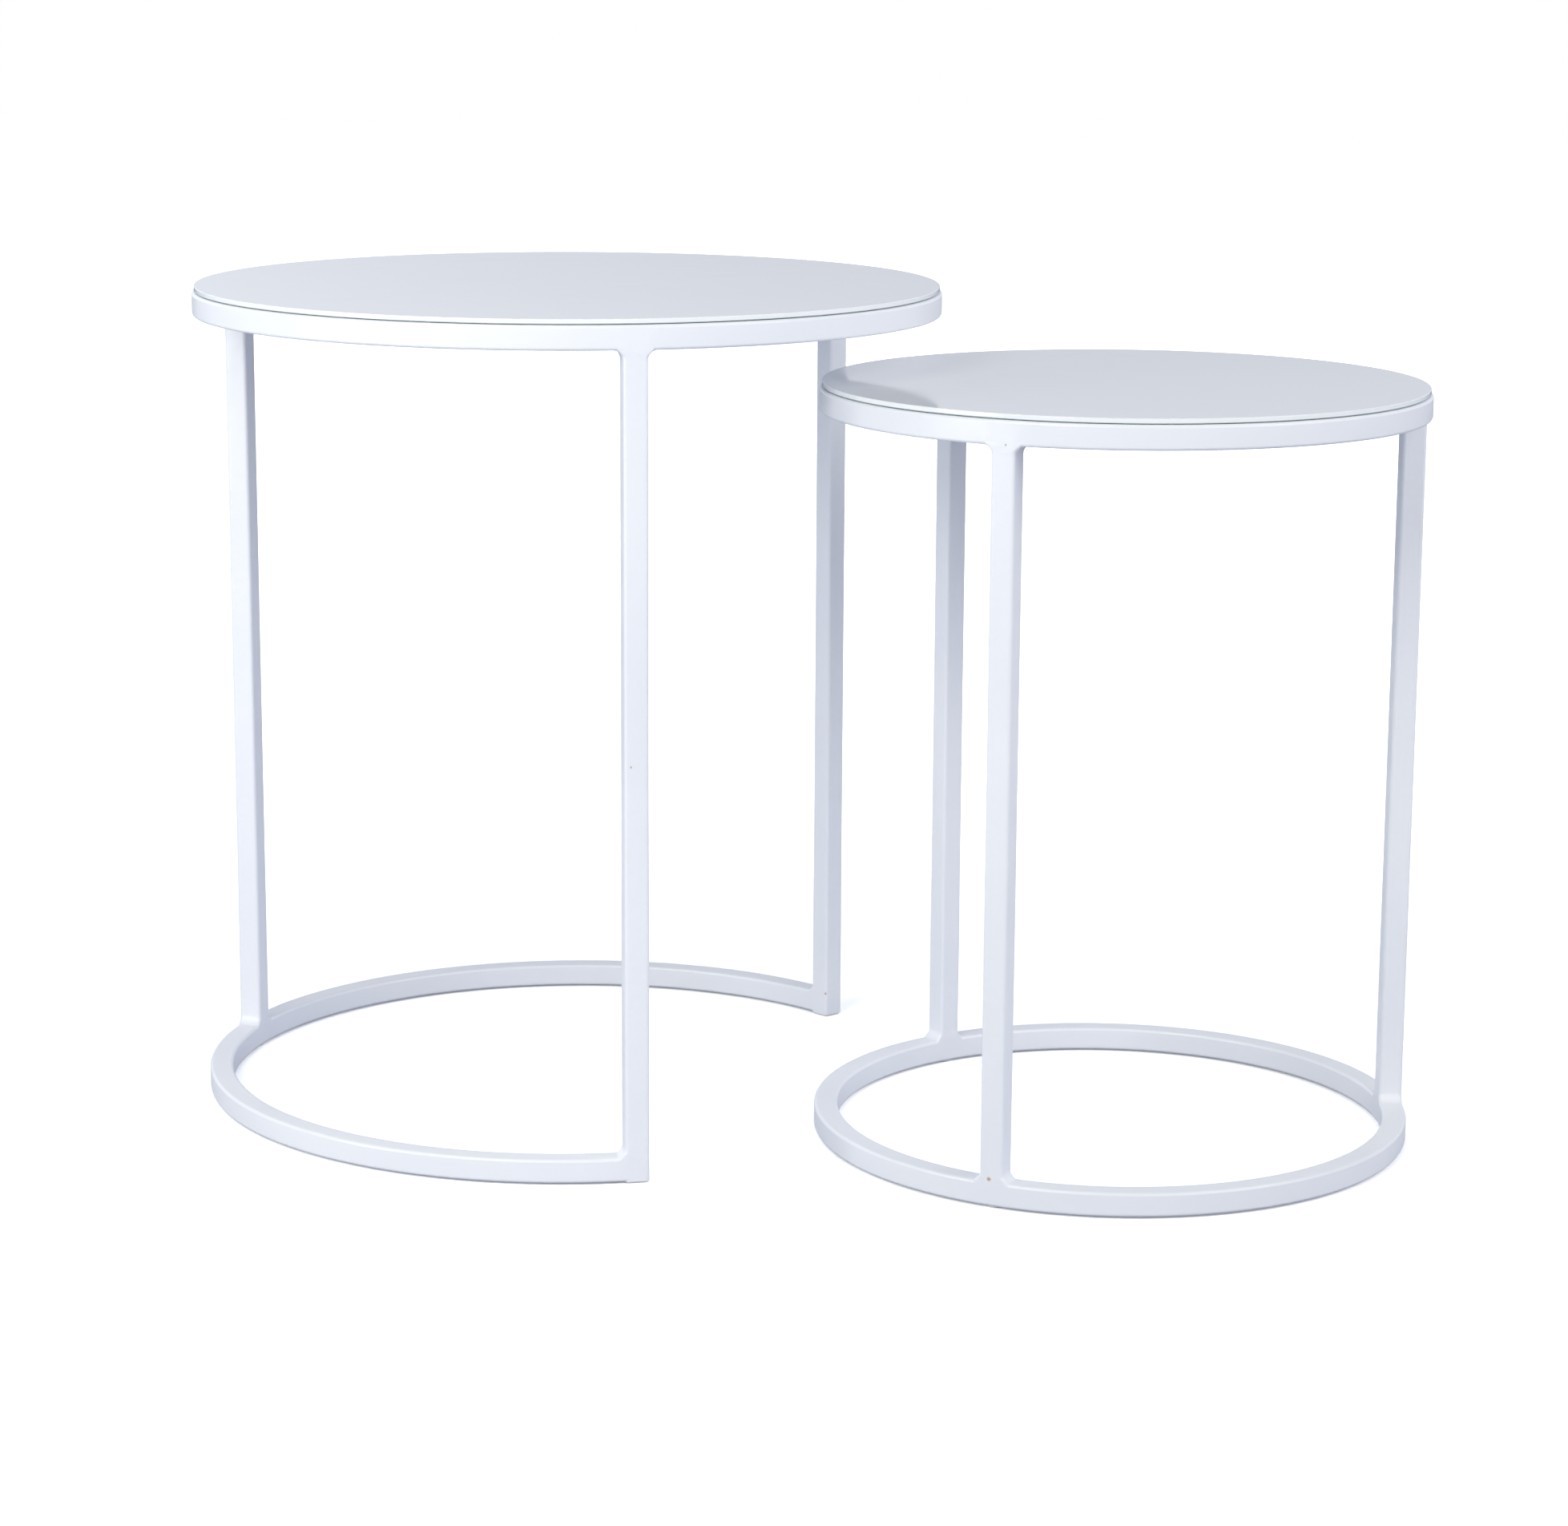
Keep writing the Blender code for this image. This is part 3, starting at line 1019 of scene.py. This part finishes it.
silicone, tree, shader = new_material("silicone")
milk = use_group(tree, cloud, Size=0.004)
body = blend_colours(tree, milk, "Value", SILICONE, SILICONE_MILK)
wire(tree, body, MIXED, shader, "Base Color")
skin_gloss = stretch(tree, milk, "Value", low=0.0, high=1.0, to_low=0.30, to_high=0.42)
wire(tree, skin_gloss, 0, shader, "Roughness")
bubbles = use_group(tree, grain, Size=0.0008)
bump = put(tree, "ShaderNodeBump", Strength=0.2, Distance=0.0002)
wire(tree, bubbles, "Height", bump, "Height")
wire(tree, bump, "Normal", shader, "Normal")
shader.inputs["Transmission Weight"].default_value = 0.45
shader.inputs["IOR"].default_value = 1.41

nylon, tree, shader = new_material("nylon")
surface = put(tree, "ShaderNodeNewGeometry")
facing = put(tree, "ShaderNodeSeparateXYZ")
wire(tree, surface, "Normal", facing, 0)
sole = stretch(tree, facing, "Z", low=-0.5, high=-0.9)
scuffs = use_group(tree, cloud, Size=0.003)
worn = maths(tree, "MULTIPLY", (sole, 0), (scuffs, "Value"))
body = blend_colours(tree, worn, 0, NYLON, NYLON_SCUFF)
wire(tree, body, MIXED, shader, "Base Color")
skin_gloss = stretch(tree, scuffs, "Value", low=0.0, high=1.0, to_low=0.38, to_high=0.52)
wire(tree, skin_gloss, 0, shader, "Roughness")
spark = use_group(tree, grain, Size=0.0006)
bump = put(tree, "ShaderNodeBump", Strength=0.25, Distance=0.0001)
wire(tree, spark, "Height", bump, "Height")
wire(tree, bump, "Normal", shader, "Normal")
print("finishes:", [m.name for m in (powder_coat, white_glass, silicone, nylon)])

# %% [markdown]
# ## Put each piece on its table
#
# Every piece takes its material and rides on the body of its own table. The engineering
# nodes it stands for are then hidden, and only the finished pieces show.

# %% Material, ride and hide
FINISHES = {
    "powder_coat": powder_coat,
    "white_glass": white_glass,
    "silicone": silicone,
    "nylon": nylon,
}


def mount(piece, body, nodes, finish):
    piece.data.materials.clear()
    piece.data.materials.append(FINISHES[finish])
    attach(piece, body)
    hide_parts(*nodes)


for piece, body, nodes in frame_pieces:
    mount(piece, body, nodes, "powder_coat")
for name, top in tops.items():
    mount(top, f"{name}_table", [f"{name}_glass"], "white_glass")
for piece, body, node, finish in small_pieces:
    mount(piece, body, [node], finish)
still_shown = [name for name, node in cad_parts.items() if not node.hide_render]
print("engineering nodes still shown:", still_shown)

# %% [markdown]
# ## Camera
#
# The camera looks across the pair from a little above the tops, with a long lens, so
# the two round tops are flat ellipses and the uprights stay nearly parallel. Its place
# is measured from the tall table's centre.

# %% Camera
CAMERA_FROM_LARGE = Vector((0.9615, -2.5644, 0.8058))
CAMERA_YAW = math.radians(17.447)
CAMERA_PITCH = math.radians(11.955)
CAMERA_ROLL = math.radians(0.327)
SENSOR_MM = 36.0
LENS_MM = 92.03
CAMERA_SIGHT = 50.0

camera_data = bpy.data.cameras.new("camera")
camera_data.sensor_width = SENSOR_MM
camera_data.lens = LENS_MM
camera_data.clip_end = CAMERA_SIGHT
camera = bpy.data.objects.new("camera", camera_data)
bpy.context.scene.collection.objects.link(camera)
turned = Matrix.Rotation(CAMERA_YAW, 3, "Z")
tilted = Matrix.Rotation(math.pi / 2 - CAMERA_PITCH, 3, "X")
rolled = Matrix.Rotation(CAMERA_ROLL, 3, "Z")
camera.rotation_euler = (turned @ tilted @ rolled).to_euler()
camera.location = LARGE["centre"] + CAMERA_FROM_LARGE
bpy.context.scene.camera = camera
print("camera at", [round(part, 3) for part in camera.location])

# %% [markdown]
# ## Floor and light
#
# White objects on white need shape from their light. A lamp low on the left and one
# higher up, nearer the camera, light the faces towards them nearly white, and a weaker,
# warmer lamp comes from high on the right. Four soft patches of the room do the rest: a
# bright wall low on the right, and cooler ones behind, which the glass tops mirror. The
# mirror image is a little dimmer than the light itself, which keeps white glass from
# looking like a mirror. Side faces between the lights fall off to a cool grey. The
# floor is overexposed to the eye, so it is white up to the feet and dark only in the
# gap under the tubes. To the light that bounces off it, it is a mid grey, so the pair
# stands out from it.

# %% Floor
FLOOR_SIZE = 24.0
FLOOR_SEEN = (1.45, 1.45, 1.45)
FLOOR_BOUNCE = (0.47, 0.50, 0.57)
FLOOR_MATT = 0.9
NEAR_GLOW = 0.12
FAR_GLOW = 1.0
FLOOR_NEAR = 0.40
FLOOR_FAR = 1.00

bpy.ops.object.select_all(action="DESELECT")
bpy.ops.mesh.primitive_plane_add(size=FLOOR_SIZE, location=(0, 0, 0))
floor = bpy.context.object
floor.name = "floor"
floor_paint, tree, shader = new_material("floor_paint")
path = put(tree, "ShaderNodeLightPath")
pale = blend_colours(tree, path, "Is Camera Ray", FLOOR_BOUNCE, FLOOR_SEEN)
wire(tree, pale, MIXED, shader, "Base Color")
shader.inputs["Roughness"].default_value = FLOOR_MATT
shader.inputs["Specular IOR Level"].default_value = 0.0
shader.inputs["Emission Color"].default_value = (1, 1, 1, 1)
place = put(tree, "ShaderNodeTexCoord")
away = put(tree, "ShaderNodeVectorMath")
away.operation = "LENGTH"
wire(tree, place, "Object", away, 0)
brighter = stretch(tree, away, "Value", FLOOR_NEAR, FLOOR_FAR, NEAR_GLOW, FAR_GLOW)
glow = maths(tree, "MULTIPLY", (brighter, 0), (path, "Is Camera Ray"))
wire(tree, glow, 0, shader, "Emission Strength")
floor.data.materials.append(floor_paint)
print("floor:", FLOOR_SIZE, "m")

# %% Room
TO_CAMERA = Vector((math.sin(CAMERA_YAW), -math.cos(CAMERA_YAW), 0))
TO_RIGHT = Vector((math.cos(CAMERA_YAW), math.sin(CAMERA_YAW), 0))
UP = Vector((0, 0, 1))
PATCH_EDGE = 0.55
MIRRORED = 0.86
ROOM = [
    ("right wall", TO_CAMERA + TO_RIGHT + 0.20 * UP, (1.72, 1.72, 1.88)),
    ("left behind", -TO_CAMERA - TO_RIGHT + 0.20 * UP, (1.25, 1.32, 1.52)),
    ("right behind", -TO_CAMERA + TO_RIGHT + 0.20 * UP, (0.89, 0.96, 1.15)),
    ("back wall", -TO_CAMERA + 0.14 * UP, (0.21, 0.20, 0.18)),
]

world = bpy.data.worlds.new("room")
bpy.context.scene.world = world
world.use_nodes = True
tree = world.node_tree
tree.nodes.clear()
way = put(tree, "ShaderNodeTexCoord")
lit = put(tree, "ShaderNodeRGB")
lit.outputs[0].default_value = (0, 0, 0, 1)
total = (lit, 0)
for name, direction, colour in ROOM:
    toward = put(tree, "ShaderNodeVectorMath")
    toward.operation = "DOT_PRODUCT"
    wire(tree, way, "Generated", toward, 0)
    toward.inputs[1].default_value = direction.normalized()
    patch = stretch(tree, toward, "Value", PATCH_EDGE, 1.0)
    added = blend_colours(tree, patch, 0, total, colour)
    added.blend_type = "ADD"
    total = (added, MIXED)
room = put(tree, "ShaderNodeBackground")
wire(tree, total[0], total[1], room, "Color")
path = put(tree, "ShaderNodeLightPath")
dimmer = maths(tree, "MULTIPLY", (path, "Is Glossy Ray"), MIRRORED - 1.0)
strength = maths(tree, "ADD", (dimmer, 0), 1.0)
wire(tree, strength, 0, room, "Strength")
seen = put(tree, "ShaderNodeBackground", Color=(1, 1, 1, 1), Strength=1.0)
choice = tree.nodes.new("ShaderNodeMixShader")
wire(tree, path, "Is Camera Ray", choice, "Fac")
wire(tree, room, "Background", choice, 1)
wire(tree, seen, "Background", choice, 2)
output = tree.nodes.new("ShaderNodeOutputWorld")
wire(tree, choice, "Shader", output, "Surface")
print("room:", [name for name, _, _ in ROOM])

# %% Lamps
LAMP_AIM = Vector((0, 0, 0.3))
LAMP_AWAY = 2.6
LAMP_SIDE = 1.2


def add_softbox(name, direction, power, colour):
    """A square lamp that faces the middle of the pair."""
    lamp_data = bpy.data.lights.new(name, "AREA")
    lamp_data.shape = "SQUARE"
    lamp_data.size = LAMP_SIDE
    lamp_data.energy = power
    lamp_data.color = colour
    lamp = bpy.data.objects.new(name, lamp_data)
    bpy.context.scene.collection.objects.link(lamp)
    lamp.location = LAMP_AIM + direction.normalized() * LAMP_AWAY
    lamp.rotation_euler = direction.to_track_quat("Z", "Y").to_euler()


add_softbox("key", TO_CAMERA - 1.73 * TO_RIGHT + 0.35 * UP, 26, (1.0, 1.0, 1.0))
add_softbox("fill", TO_CAMERA - 0.58 * TO_RIGHT + 0.81 * UP, 27, (1.0, 1.0, 0.94))
add_softbox("side", TO_CAMERA + 1.73 * TO_RIGHT + 1.40 * UP, 14, (1.0, 0.98, 0.86))
bpy.context.scene.view_settings.view_transform = "Standard"
